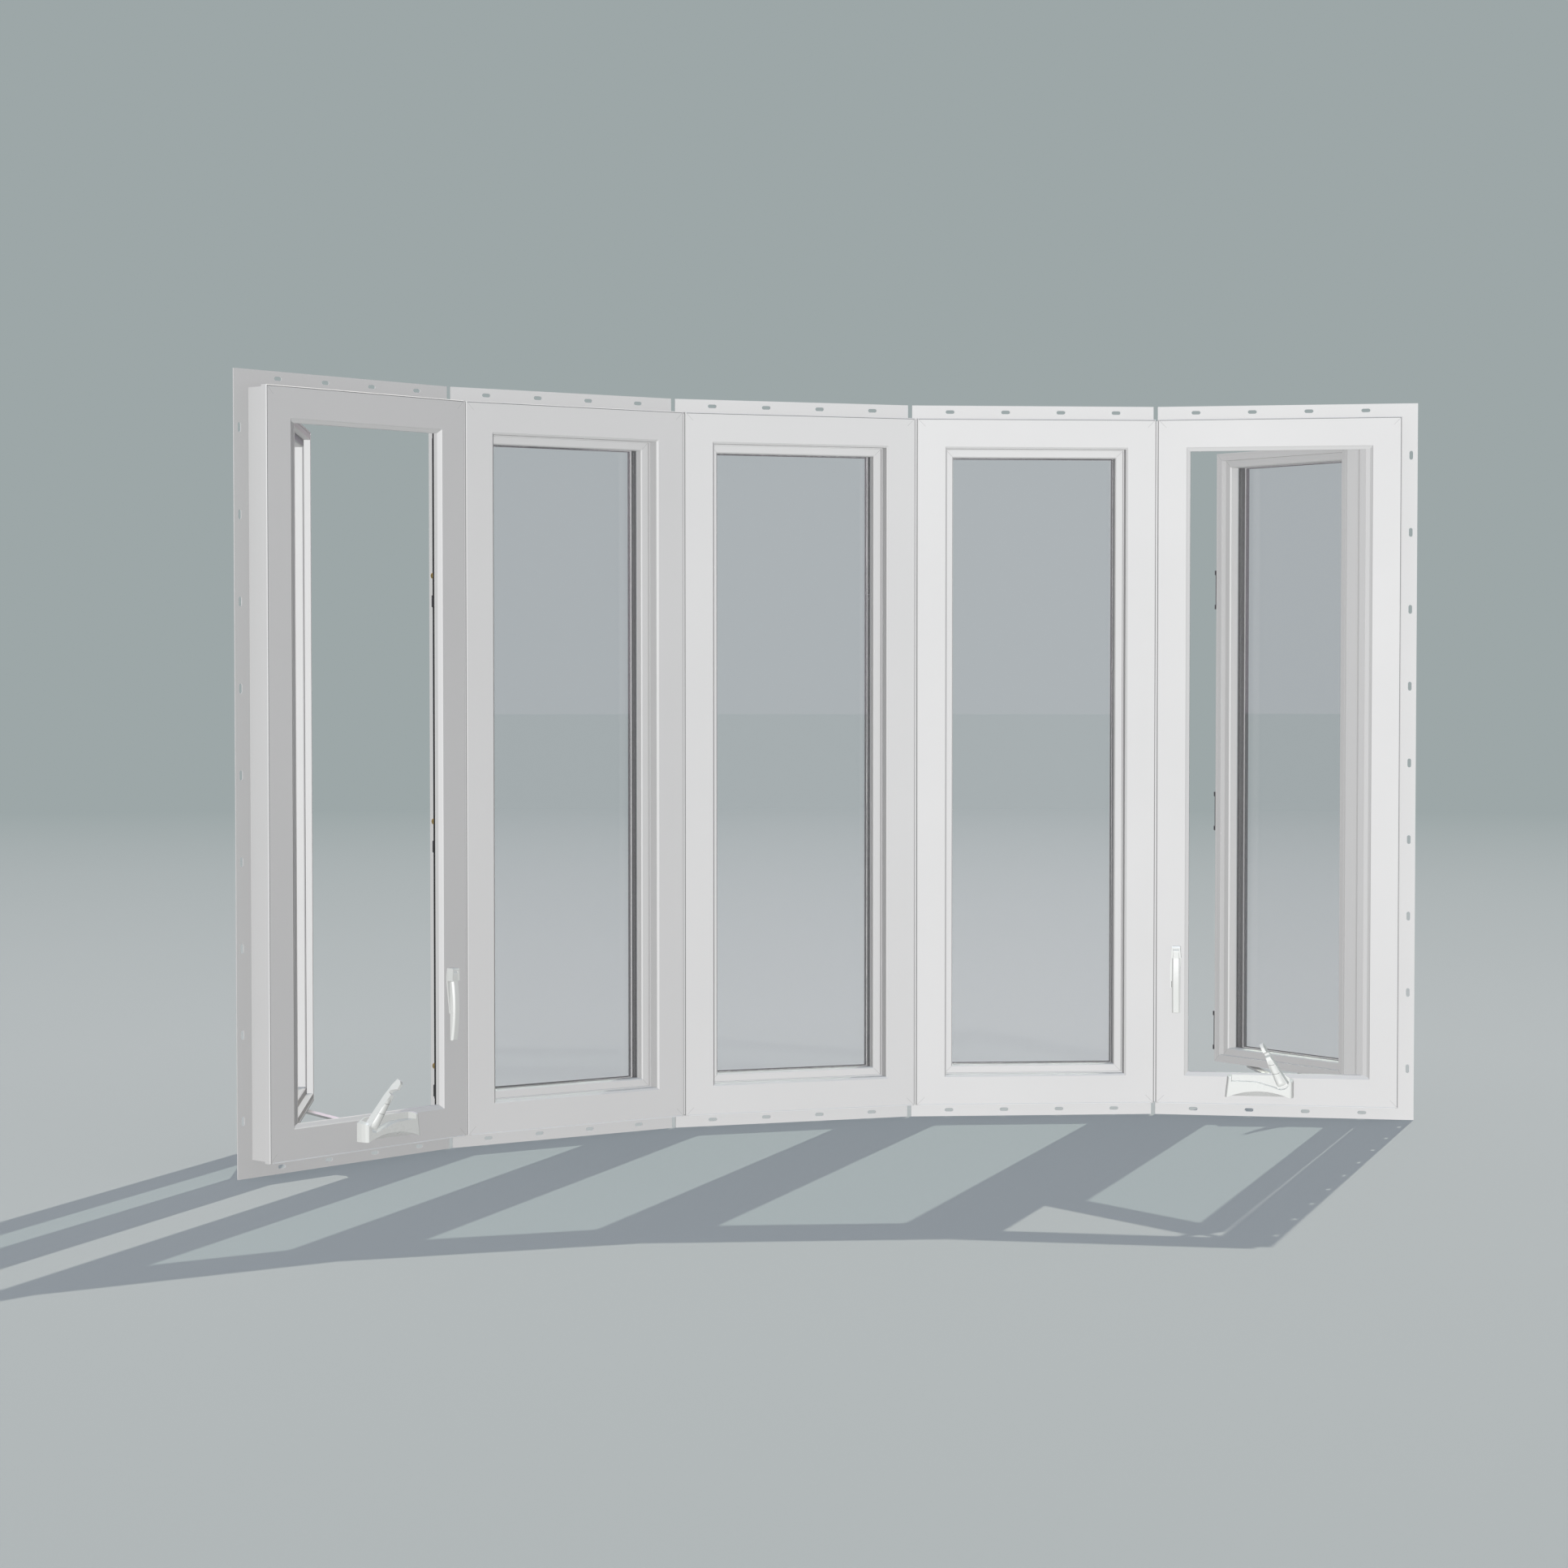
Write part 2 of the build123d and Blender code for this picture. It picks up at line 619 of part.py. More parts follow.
# Lock base: a tapered plate on the jamb, a cap and two ears that hold the lever's pin
lock_x = -HALF_FRAME + LOCK_INSET
lock_low = FRAME_BOTTOM + LOCK_PLATE_LOW
lock_pin_z = FRAME_BOTTOM + LOCK_PIN_HEIGHT
lock_top = lock_pin_z + LOCK_TOP_ABOVE_PIN
lever_top = lock_pin_z - LEVER_TOP_BELOW_PIN
lock_half = LOCK_WIDTH / 2
with BuildPart() as lock_base:
    with BuildSketch(face_plane):
        with BuildLine():
            Polyline(
                (lock_x - lock_half - 2.6, lock_low),
                (lock_x - lock_half - 2.6, lock_low + 45),
                (lock_x - lock_half, lock_top - 15),
                (lock_x - lock_half + 2, lock_top),
                (lock_x + lock_half - 2, lock_top),
                (lock_x + lock_half, lock_top - 15),
                (lock_x + lock_half, lock_top - 26),
                (lock_x + 3, lock_low),
                close=True,
            )
        make_face()
    extrude(amount=LOCK_PLATE_THICK)
    ear_low = lever_top + SHOULDER_GAP
    with BuildSketch(face_plane):
        with BuildLine():
            Polyline(
                (lock_x - lock_half, ear_low),
                (lock_x - lock_half + 2, lock_top),
                (lock_x + lock_half - 2, lock_top),
                (lock_x + lock_half, ear_low),
                close=True,
            )
        make_face()
    extrude(amount=LOCK_CAP_DEPTH)
    chamfer(lock_base.faces().sort_by(Axis.Y)[0].edges().sort_by(Axis.Z)[-1], LOCK_CAP / 2)
    with BuildSketch(face_plane.offset(LOCK_PLATE_THICK)):
        with Locations((lock_x, (ear_low + lock_top - LOCK_CAP) / 2)):
            Rectangle(LOCK_WIDTH - 2 * LOCK_EAR, lock_top - LOCK_CAP - ear_low)
    extrude(amount=LOCK_CAP_DEPTH, mode=Mode.SUBTRACT)
    with Locations(Location((lock_x, -LOCK_PIN_DEPTH, lock_pin_z), (0, 90, 0))):
        Cylinder(PIN_RADIUS, LOCK_WIDTH - LOCK_EAR)
save_casement(lock_base.part, "lock_base")

# Lock lever: a bulging handle below a narrower knuckle on the pin
lever_low = FRAME_BOTTOM + LEVER_LOW
with BuildPart() as lever:
    with BuildSketch(Plane.YZ.offset(lock_x - LEVER_WIDTH / 2)):
        with BuildLine():
            l1 = Line((-LEVER_BACK, lever_top), (-LEVER_FRONT, lever_top))
            l2 = ThreePointArc(
                l1 @ 1,
                (-LEVER_BULGE, (lever_top + lever_low) / 2),
                (-LEVER_FRONT + 2, lever_low + 1),
            )
            l3 = ThreePointArc(l2 @ 1, (-LEVER_BACK - 2, lever_low), (-LEVER_BACK, lever_low + 3))
            Line(l3 @ 1, l1 @ 0)
        make_face()
    extrude(amount=LEVER_WIDTH)
    front_edges = lever.edges().filter_by(
        lambda edge: edge.length > 50 and edge.center().Y < -(LEVER_BACK + LEVER_FRONT) / 2
    )
    chamfer(front_edges, LEVER_ROUND)
    knuckle_width = LOCK_WIDTH - 2 * LOCK_EAR - 2 * KNUCKLE_GAP
    with BuildSketch(Plane.YZ.offset(lock_x - knuckle_width / 2)):
        with Locations((-LOCK_PIN_DEPTH, lock_pin_z)):
            Circle(KNUCKLE_RADIUS)
        with Locations((-(LEVER_BACK + LEVER_FRONT) / 2, lever_top)):
            Rectangle(LEVER_FRONT - LEVER_BACK, lock_pin_z - lever_top, align=(Align.CENTER, Align.MIN))
    extrude(amount=knuckle_width)
    with Locations(Location((lock_x, -LOCK_PIN_DEPTH, lock_pin_z), (0, 90, 0))):
        Cylinder(PIN_RADIUS + PIN_CLEARANCE, LOCK_WIDTH, mode=Mode.SUBTRACT)
save_casement(lever.part, "lock_lever")

# Lock bars with rollers on the channel wall of the free jambs
bar_x = -HALF_FRAME + CHANNEL_INSET
with BuildPart() as lock_bar:
    add(
        block(
            (bar_x, bar_x + LOCK_BAR_THICK),
            (TRACK_DEPTH - LOCK_BAR_WIDTH, TRACK_DEPTH),
            (FRAME_BOTTOM + 70, FRAME_TOP - 70),
        )
    )
    for height in ROLLER_HEIGHTS:
        with Locations(Location((bar_x, TRACK_DEPTH - LOCK_BAR_WIDTH / 2, height), (0, 1, 0), 90)):
            Cylinder(4, 9, align=(Align.CENTER, Align.CENTER, Align.MIN))
save_pair(lock_bar.part, "lock_bars")

# Keepers on the sash's free edge, which the rollers pull in
with BuildPart() as keepers:
    for height in KEEPER_HEIGHTS:
        add(
            block(
                (-sash_half - KEEPER_THICK, -sash_half),
                (20, 38),
                (height - KEEPER_LENGTH / 2, height + KEEPER_LENGTH / 2),
            )
        )
save_pair(sash_place * keepers.part, "lock_keepers")
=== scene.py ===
"""Bow window: finishes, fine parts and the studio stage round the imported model.

All places are worked out in one unit's own frame in millimetres: x along the unit, y outwards
from its inner face, z up from the floor. A matrix then turns them into the window's metres.
"""
import math

import bmesh
import bpy
import numpy as np
from bpy.props import FloatProperty, FloatVectorProperty, PointerProperty
from bpy.types import Operator, Panel, PropertyGroup
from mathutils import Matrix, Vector


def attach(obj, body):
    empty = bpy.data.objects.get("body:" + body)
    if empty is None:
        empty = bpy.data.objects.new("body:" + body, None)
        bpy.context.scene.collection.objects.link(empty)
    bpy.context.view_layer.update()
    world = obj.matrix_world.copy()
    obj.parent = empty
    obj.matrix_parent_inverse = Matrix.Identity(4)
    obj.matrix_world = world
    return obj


bl_info = {
    "name": "Bow Window",
    "version": (1, 0, 0),
    "blender": (4, 5, 0),
    "location": "3D View > Sidebar > Bow Window",
    "description": "Finishes and fine parts for a five-lite vinyl bow window",
    "category": "Object",
}

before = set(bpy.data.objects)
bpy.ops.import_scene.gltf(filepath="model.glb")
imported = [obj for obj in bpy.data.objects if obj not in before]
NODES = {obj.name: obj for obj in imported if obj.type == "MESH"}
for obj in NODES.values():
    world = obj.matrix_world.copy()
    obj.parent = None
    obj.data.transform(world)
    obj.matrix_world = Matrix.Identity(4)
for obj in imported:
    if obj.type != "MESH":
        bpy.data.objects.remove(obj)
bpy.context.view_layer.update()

# Layout of the row, as in the model, in millimetres and degrees
HALF_PITCH = 241.3
UNIT_ANGLE = 15.0
FIN_MIDDLE = 51.8
FRAME_WIDTH = 477.9
FRAME_HEIGHT = 1366.0
FRAME_BOTTOM = 29.0
FIXED_SASH_INSET = 46.0
CASEMENT_SASH_INSET = 50.0
FIXED_FACE = 26.0
SASH_OPEN = 44.0
SASH_CORNER = (132.0, 50.0)
SASH_FACE = 15.0
BEAD_INSET = 29.5
CASEMENT_GLASS = 34.0
FIXED_GLASS = 51.0
GLASS_GAP = 18.0
PANE = 3.0
CHANNEL = 37.0
JOINT = 4.7
ROLLERS = (161.0, 616.0, 1071.0)
KEEPERS = (144.0, 602.5, 1063.0)
PIVOT = (10.3, -10.0, 80.1)
CRANK_TILT = 18.0
CRANK_LEAN = 24.5
LOCK_X = -198.65
SHARP_ANGLE = 35.0
MM = 0.001

HALF_FRAME = FRAME_WIDTH / 2
FRAME_TOP = FRAME_BOTTOM + FRAME_HEIGHT
FRAME_MIDDLE = FRAME_BOTTOM + FRAME_HEIGHT / 2
JAMB_WALL = CHANNEL - HALF_FRAME
SASH_EDGE = CASEMENT_SASH_INSET - HALF_FRAME

FIXED_UNITS = (2, 3, 4)
CASEMENTS = (1, 5)
ALONG, OUTWARDS, INWARDS, UP = (1.0, 0, 0), (0, 1.0, 0), (0, -1.0, 0), (0, 0, 1.0)
# Signs of x and z at the four corners of a unit
CORNERS = np.array([(-1, -1), (1, -1), (1, 1), (-1, 1)], float)

# Half-round sections: width, rise and, where it isn't the usual one, the number of segments
SEAM = (0.9, 0.16)
# The next two sections carry dark lines of painted shade: beside the mullion noses and along the
# frame edges
JOINT_SHADE_LINE = (1.0, 0.8, 6)
EDGE_SHADE_LINE = (1.2, 0.25, 6)
RIB = (1.6, 0.7, 6)
LOCK_SLOT_SHADE = (1.5, 0.4, 8)
CRANK_GROOVE_SHADE = (1.2, 0.3, 6)
# Other sections as pairs: across and out, inset and depth, or radius and height
DRIP_BEAD = [(1.8, 0.0), (0.3, 2.0), (-0.3, 2.0), (-0.3, 0.0)]
WEDGE = np.array([(-1.0, 0.0), (1.9, 0.0), (1.7, 4.0), (0.9, 8.6), (-1.0, 8.8)])
GUIDE = np.array([(0, 29), (5, 29.5), (6, 31), (6, 43), (5, 44.5), (0, 45)], float)
ROLLER = [(5.6, 0.0), (5.6, 1.1), (4.5, 1.6), (4.5, 5.4), (5.4, 5.8), (5.4, 6.8), (4.6, 7.4)]

# Heights of the hinge tracks' and rivets' faces above the floor, the same below the top
TRACK_FACE = 69.0
RIVET_FACE = 72.0


# Shapes: whole arrays of points, put together into one mesh


def turn_in_plan(angle, place):
    """A turn about z, then a step in plan."""
    matrix = np.eye(4)
    matrix[:2, :2] = [[math.cos(angle), -math.sin(angle)], [math.sin(angle), math.cos(angle)]]
    matrix[:2, 3] = place
    return matrix


def unit_matrix(number):
    """Places a unit's own frame in the window: a turn about z, then a step along the bow.

    Each step adds half a pitch along the last unit and half a pitch along the next one.
    """
    angles = np.radians(UNIT_ANGLE * np.arange(abs(number - 3) + 1))
    steps = HALF_PITCH * np.stack(
        [np.cos(angles[:-1]) + np.cos(angles[1:]), -np.sin(angles[:-1]) - np.sin(angles[1:])]
    ).sum(axis=1)
    side = 1 if number > 3 else -1
    turn = math.radians((3 - number) * UNIT_ANGLE)
    return turn_in_plan(turn, (side * steps[0], steps[1] - FIN_MIDDLE))


def mirrored(matrix):
    """The same place on the other side of the window: x changes sign."""
    return np.diag([-1.0, 1.0, 1.0, 1.0]) @ matrix


def open_sash_matrix():
    """The swung sash in unit 5: a turn about its hinge corner, with the sash centred on x."""
    swing = turn_in_plan(math.radians(-SASH_OPEN), SASH_CORNER)
    return swing @ turn_in_plan(0.0, (SASH_EDGE, 0.0))


UNITS = {number: unit_matrix(number) for number in range(1, 6)}
# Pieces of the end units are laid out in unit 5 and mirrored into unit 1
ENDS = (UNITS[5], mirrored(UNITS[5]))
END_SASHES = tuple(end @ open_sash_matrix() for end in ENDS)


def placed(points, matrix):
    """Points of shape (..., 3) in millimetres, moved by a matrix and given in metres."""
    return (points @ matrix[:3, :3].T + matrix[:3, 3]) * MM


def surface(points, closed_rows=False, closed_columns=True, caps=True):
    """Vertices and faces of a grid of points: quads between neighbours, with fans as end caps."""
    rows, columns = points.shape[:2]
    index = np.arange(rows * columns).reshape(rows, columns)
    if closed_rows:
        index = np.vstack([index, index[:1]])
    if closed_columns:
        index = np.hstack([index, index[:, :1]])
    quads = np.stack([index[:-1, :-1], index[:-1, 1:], index[1:, 1:], index[1:, :-1]], axis=-1)
    faces = quads.reshape(-1, 4).tolist()
    vertices = points.reshape(-1, 3)
    if caps and not closed_rows:
        middles = points[[0, -1]].mean(axis=1)
        for ring, middle in ((index[0][::-1], rows * columns), (index[-1], rows * columns + 1)):
            fan = [ring[:-1], ring[1:], np.full(len(ring) - 1, middle)]
            faces += np.stack(fan, axis=-1).tolist()
        vertices = np.vstack([vertices, middles])
    return vertices, faces


def mesh_piece(name, body, material, surfaces):
    """One object from several surfaces, riding on a body."""
    vertices, faces, count = [], [], 0
    for points, loops in surfaces:
        vertices.append(points)
        faces += [[corner + count for corner in loop] for loop in loops]
        count += len(points)
    mesh = bpy.data.meshes.new(name)
    mesh.from_pydata(np.vstack(vertices).tolist(), [], faces)
    shape = bmesh.new()
    shape.from_mesh(mesh)
    bmesh.ops.recalc_face_normals(shape, faces=shape.faces)
    shape.to_mesh(mesh)
    shape.free()
    mesh.shade_smooth()
    mesh.set_sharp_from_angle(angle=math.radians(SHARP_ANGLE))
    piece = bpy.data.objects.new(name, mesh)
    bpy.context.collection.objects.link(piece)
    mesh.materials.append(material)
    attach(piece, body)


def carried_ring(outline, inset, depth):
    """A closed outline of (inset, depth) pairs carried round a unit.

    At each corner the point stands at half the width less the inset, with the corner's signs.
    """
    outline = np.asarray(outline, float) + (inset, depth)
    half = np.array([FRAME_WIDTH / 2, FRAME_HEIGHT / 2])
    flat = CORNERS[:, None, :] * (half - outline[None, :, :1])
    points = np.empty((4, len(outline), 3))
    points[..., 0] = flat[..., 0]
    points[..., 1] = outline[None, :, 1]
    points[..., 2] = flat[..., 1] + FRAME_BOTTOM + FRAME_HEIGHT / 2
    return points


def square_to(axis):
    """The axis at unit length, and two directions square to it and to each other."""
    axis = np.asarray(axis, float) / np.linalg.norm(axis)
    side = np.cross(axis, UP)
    if np.linalg.norm(side) < 0.1:
        side = np.array(ALONG)
    side /= np.linalg.norm(side)
    return axis, side, np.cross(axis, side)


def turned(outline, centre, axis, segments):
    """A profile of (radius, height) pairs turned about an axis through a centre."""
    axis, side, other = square_to(axis)
    angle = np.linspace(0, 2 * np.pi, segments, endpoint=False)
    circle = np.cos(angle)[:, None] * side + np.sin(angle)[:, None] * other
    outline = np.asarray(outline, float)
    return (
        np.asarray(centre, float)
        + outline[:, 0, None, None] * circle[None]
        + outline[:, 1, None, None] * axis
    )


def strips(starts, ends, across, out, profile):
    """One profile of (across, out) pairs carried along several straight lines.

    Each point is a line's end plus the profile's two offsets times its two directions.
    """
    starts, ends = np.atleast_2d(starts).astype(float), np.atleast_2d(ends).astype(float)
    across = np.broadcast_to(np.asarray(across, float), starts.shape)
    out = np.broadcast_to(np.asarray(out, float), starts.shape)
    profile = np.asarray(profile, float)
    offsets = profile[None, :, :1] * across[:, None, :] + profile[None, :, 1:] * out[:, None, :]
    return list(np.stack([starts[:, None] + offsets, ends[:, None] + offsets], axis=1))


def upright(x, y, low, high, profile, out=INWARDS):
    """A profile carried upwards at one place of a unit's plan."""
    return strips((x, y, low), (x, y, high), ALONG, out, profile)


def level(inset, y, z, profile):
    """A profile carried along a unit, from its inset at one end to its inset at the other."""
    return strips((inset - HALF_FRAME, y, z), (HALF_FRAME - inset, y, z), UP, INWARDS, profile)


def half_round(width, height, segments=8):
    """Points of half an ellipse: half the width by the cosine, the height by the sine."""
    angle = np.linspace(0, np.pi, segments + 1)
    return np.stack([width / 2 * np.cos(angle), height * np.sin(angle)], axis=1)


def mitre_ridges(inset, near, far, depth):
    """Half-round ridges on the four mitre lines of a ring.

    Each end of a ridge stands its own inset inside the corner on both axes.
    """
    across = np.stack([CORNERS[:, 0], np.zeros(4), -CORNERS[:, 1]], axis=1) / math.sqrt(2)
    half = np.array([FRAME_WIDTH, FRAME_HEIGHT]) / 2 - inset
    ends = []
    for step in (near, far):
        flat = CORNERS * (half - step)
        ends.append(np.stack([flat[:, 0], np.full(4, depth), flat[:, 1] + FRAME_MIDDLE], axis=1))
    return strips(*ends, across, INWARDS, half_round(*SEAM))


def screw(centre, axis, radius, rise):
    """A pan head with a cross recess.

    Height is the rise by the root of one less the radius share to the fourth power; the cross
    takes away a share of the rise where either side distance is small and the middle is near.
    """
    segments, rings = 32, 9
    arm_half, arm_reach, sunk, skirt_drop = 0.13, 0.55, 0.7, 0.2
    axis, side, other = square_to(axis)
    share = np.linspace(1.0, 0.04, rings)[:, None]
    angle = np.linspace(0, 2 * np.pi, segments, endpoint=False)[None]
    a, b = share * np.cos(angle), share * np.sin(angle)
    height = np.sqrt(np.clip(1 - share**4, 0, 1)) * np.ones_like(a)
    inside = (np.minimum(np.abs(a), np.abs(b)) < arm_half) & (share < arm_reach)
    height = rise * (height - sunk * inside)
    points = radius * (a[..., None] * side + b[..., None] * other) + height[..., None] * axis
    skirt = points[:1] - skirt_drop * axis
    return np.concatenate([skirt, points]) + np.asarray(centre, float)


def palm_half(height):
    """Half the width of the crank's face: it narrows evenly from the heel to the neck."""
    heel, heel_half, length, narrowing = -9.0, 11.2, 71.0, 6.75
    return heel_half - (height - heel) * narrowing / length


def palm_depth(height, share):
    """Depth of the crank's domed face.

    The dome is fullest at the heel. It falls away to the sides by the share cubed, and to both
    ends by the sixth power of the distance from its middle.
    """
    face, dome, fullest, fall, middle, reach = 11.8, 5.8, 1.05, 70.0, 26.0, 33.0
    ends = np.clip(1 - np.abs((height - middle) / reach) ** 6, 0, 1)
    return face + dome * (fullest - height / fall) * ends * (1 - np.abs(share) ** 3)


def crank_matrix():
    """The raised crank in unit 5: leant over about y, tilted about x, then set on its pivot."""
    tilt, lean = math.radians(CRANK_TILT), math.radians(-CRANK_LEAN)
    cos_x, sin_x, cos_y, sin_y = math.cos(tilt), math.sin(tilt), math.cos(lean), math.sin(lean)
    about_x = np.array([[1, 0, 0], [0, cos_x, -sin_x], [0, sin_x, cos_x]])
    about_y = np.array([[cos_y, 0, sin_y], [0, 1, 0], [-sin_y, 0, cos_y]])
    matrix = np.eye(4)
    matrix[:3, :3] = about_x @ about_y
    matrix[:3, 3] = PIVOT
    return matrix


def pieces_on(shapes, matrices, **options):
    """The same grids of points moved by each of the matrices, as surfaces."""
    return [surface(placed(points, matrix), **options) for matrix in matrices for points in shapes]


def on_frames(shapes, numbers=tuple(UNITS)):
    """The same grids of points in several units."""
    return pieces_on(shapes, [UNITS[number] for number in numbers])


# Materials

MIX_FACTOR, MIX_A, MIX_B, MIX_RESULT = 0, 6, 7, 2


def add_node(tree, kind, inputs=None, **settings):
    """A new node. Inputs go by name or number: a socket is linked, any other value is set."""
    node = tree.nodes.new(kind)
    for key, value in settings.items():
        setattr(node, key, value)
    for key, value in (inputs or {}).items():
        if isinstance(value, bpy.types.NodeSocket):
            tree.links.new(value, node.inputs[key])
        else:
            node.inputs[key].default_value = value
    return node


def colour_mix(tree, factor, first, second):
    inputs = {MIX_FACTOR: factor, MIX_A: first, MIX_B: second}
    return add_node(tree, "ShaderNodeMix", inputs, data_type="RGBA").outputs[MIX_RESULT]


def shader_mix(tree, factor, first, second):
    return add_node(tree, "ShaderNodeMixShader", {0: factor, 1: first, 2: second}).outputs[0]


def map_range(tree, value, **ends):
    """Maps a value between two ranges; from_min becomes the input From Min, and so on."""
    inputs = {key.replace("_", " ").title(): end for key, end in ends.items()}
    return add_node(tree, "ShaderNodeMapRange", {"Value": value, **inputs}).outputs["Result"]


def noise(tree, place, **inputs):
    inputs = {key.title(): value for key, value in inputs.items()}
    return add_node(tree, "ShaderNodeTexNoise", {"Vector": place, **inputs}).outputs["Fac"]


def object_place(tree):
    return tree.nodes.new("ShaderNodeTexCoord").outputs["Object"]


def surface_group(name, inputs):
    """A new shader group with its inputs, as (name, type, default), and its three outputs."""
    group = bpy.data.node_groups.new(name, "ShaderNodeTree")
    for label, kind, default in inputs:
        socket = group.interface.new_socket(
            label, in_out="INPUT", socket_type="NodeSocket" + kind
        )
        socket.default_value = default
    for label, kind in (("Color", "Color"), ("Roughness", "Float"), ("Normal", "Vector")):
        group.interface.new_socket(label, in_out="OUTPUT", socket_type="NodeSocket" + kind)
    return group, group.nodes.new("NodeGroupInput").outputs


def close_group(group, given, tone, gloss, height, strength, distance):
    """Mixes the two colours by the tone and the two glosses by the gloss, and adds the bumps."""
    bump = {"Height": height, "Strength": strength, "Distance": distance}
    results = {
        "Color": colour_mix(group, tone, given["Base"], given["Shade"]),
        "Roughness": map_range(
            group, gloss, to_min=given["Gloss Low"], to_max=given["Gloss High"]
        ),
        "Normal": add_node(group, "ShaderNodeBump", bump).outputs["Normal"],
    }
    add_node(group, "NodeGroupOutput", results)
    return group


def moulded_surface_group():
    """Fine texture of moulded plastic: cloudy tone, uneven gloss, slight orange peel."""
    group, given = surface_group(
        "Moulded Surface",
        [
            ("Base", "Color", (0.8, 0.8, 0.8, 1)),
            ("Shade", "Color", (0.7, 0.7, 0.7, 1)),
            ("Cloud Size", "Float", 3.0),
            ("Peel Size", "Float", 260.0),
            ("Peel", "Float", 0.05),
            ("Gloss Low", "Float", 0.3),
            ("Gloss High", "Float", 0.42),
        ],
    )
    where = object_place(group)
    cloud = noise(group, where, scale=given["Cloud Size"], detail=5.0, roughness=0.6)
    peel = noise(group, where, scale=given["Peel Size"], detail=2.0, roughness=0.5)
    tone = map_range(group, cloud, from_min=0.35, from_max=0.75)
    return close_group(group, given, tone, cloud, peel, given["Peel"], 0.0002)


def brushed_surface_group():
    """Brushed metal: noise drawn out along one direction streaks its tone, gloss and height."""
    group, given = surface_group(
        "Brushed Surface",
        [
            ("Base", "Color", (0.6, 0.6, 0.6, 1)),
            ("Shade", "Color", (0.4, 0.4, 0.4, 1)),
            ("Stretch", "Vector", (30.0, 30.0, 900.0)),
            ("Gloss Low", "Float", 0.25),
            ("Gloss High", "Float", 0.5),
            ("Depth", "Float", 0.1),
        ],
    )
    factors = {0: object_place(group), 1: given["Stretch"]}
    stretched = add_node(group, "ShaderNodeVectorMath", factors, operation="MULTIPLY").outputs[0]
    streaks = noise(group, stretched, scale=1.0, detail=3.0)
    return close_group(group, given, streaks, streaks, streaks, given["Depth"], 0.0001)


def new_material(name):
    material = bpy.data.materials.new(name)
    material.use_nodes = True
    return material, material.node_tree, material.node_tree.nodes["Principled BSDF"]


def set_inputs(node, values):
    for key, value in values.items():
        node.inputs[key].default_value = value


def finish(name, group_name, maker, values, metallic):
    """A material made of one surface group and the Principled shader, made once."""
    known = bpy.data.materials.get(name)
    if known:
        return known
    material, tree, shader = new_material(name)
    group = bpy.data.node_groups.get(group_name) or maker()
    effect = add_node(tree, "ShaderNodeGroup", values, node_tree=group)
    for given, taken in (("Color", "Base Color"), ("Roughness", "Roughness"), ("Normal", "Normal")):
        tree.links.new(effect.outputs[given], shader.inputs[taken])
    set_inputs(shader, {"Metallic": metallic})
    return material


def with_alpha(colour, factor=1.0):
    return tuple(channel * factor for channel in colour) + (1.0,)


def scaled(colour, factor):
    return [factor * part for part in colour]


def moulded(name, colour, cloud=2.5, peel=0.05, low=0.3, high=0.42, shade=0.97):
    values = {
        "Base": with_alpha(colour),
        "Shade": with_alpha(colour, shade),
        "Cloud Size": cloud,
        "Peel": peel,
        "Gloss Low": low,
        "Gloss High": high,
    }
    return finish(name, "Moulded Surface", moulded_surface_group, values, metallic=0.0)


def brushed(name, colour, stretch, low=0.25, high=0.45):
    values = {
        "Base": with_alpha(colour),
        "Shade": with_alpha(colour, 0.75),
        "Stretch": stretch,
        "Gloss Low": low,
        "Gloss High": high,
    }
    return finish(name, "Brushed Surface", brushed_surface_group, values, metallic=1.0)


def paint(material, *names):
    """Gives these CAD nodes one material."""
    for name in names:
        slots = NODES[name].material_slots
        if not slots:
            NODES[name].data.materials.append(material)
        for slot in slots:
            slot.material = material


# Settings


def colour_setting(name, description, default, top=1):
    return FloatVectorProperty(
        name=name, description=description, subtype="COLOR", min=0, max=top, default=default
    )


def light_setting(name, description, default):
    return FloatProperty(name=name, description=description, default=default, min=0)


class BowColours(PropertyGroup):
    vinyl: colour_setting("Vinyl", "White of the extrusions", (0.82, 0.82, 0.818))
    hardware: colour_setting(
        "Hardware", "White paint of crank, cover and locks", (0.94, 0.96, 0.935)
    )
    glass: colour_setting("Glass", "Tint of the panes", (0.995, 0.99, 1.0))
    spacer: colour_setting("Spacer", "Dark bars between the panes", (0.02, 0.021, 0.022))
    seal: colour_setting("Seal", "Black weather seals", (0.022, 0.022, 0.024))
    gasket: colour_setting("Gasket", "Soft glazing gaskets", (0.42, 0.43, 0.44))
    core: colour_setting("Spacer core", "Paler band along the spacers", (0.045, 0.046, 0.05))
    steel: colour_setting("Steel", "Hinges and arms", (0.6, 0.6, 0.585))
    bars: colour_setting("Bars", "Blackened steel of the lock bars", (0.09, 0.09, 0.095))
    brass: colour_setting("Brass", "Lock rollers", (0.7, 0.5, 0.22))
    # Dark grey painted shade for the lines beside the mullion noses and along the frame edges
    painted_shade: colour_setting("Painted shade", "Painted shade lines at the mullion joints and frame edges", (0.27, 0.275, 0.28))
    # Real dark plastic of keepers and guides; in the lock slots the same colour is painted shade
    plastic: colour_setting("Dark plastic and slot shade", "Keepers and guides, and painted shade in the lock slots", (0.05, 0.05, 0.053))


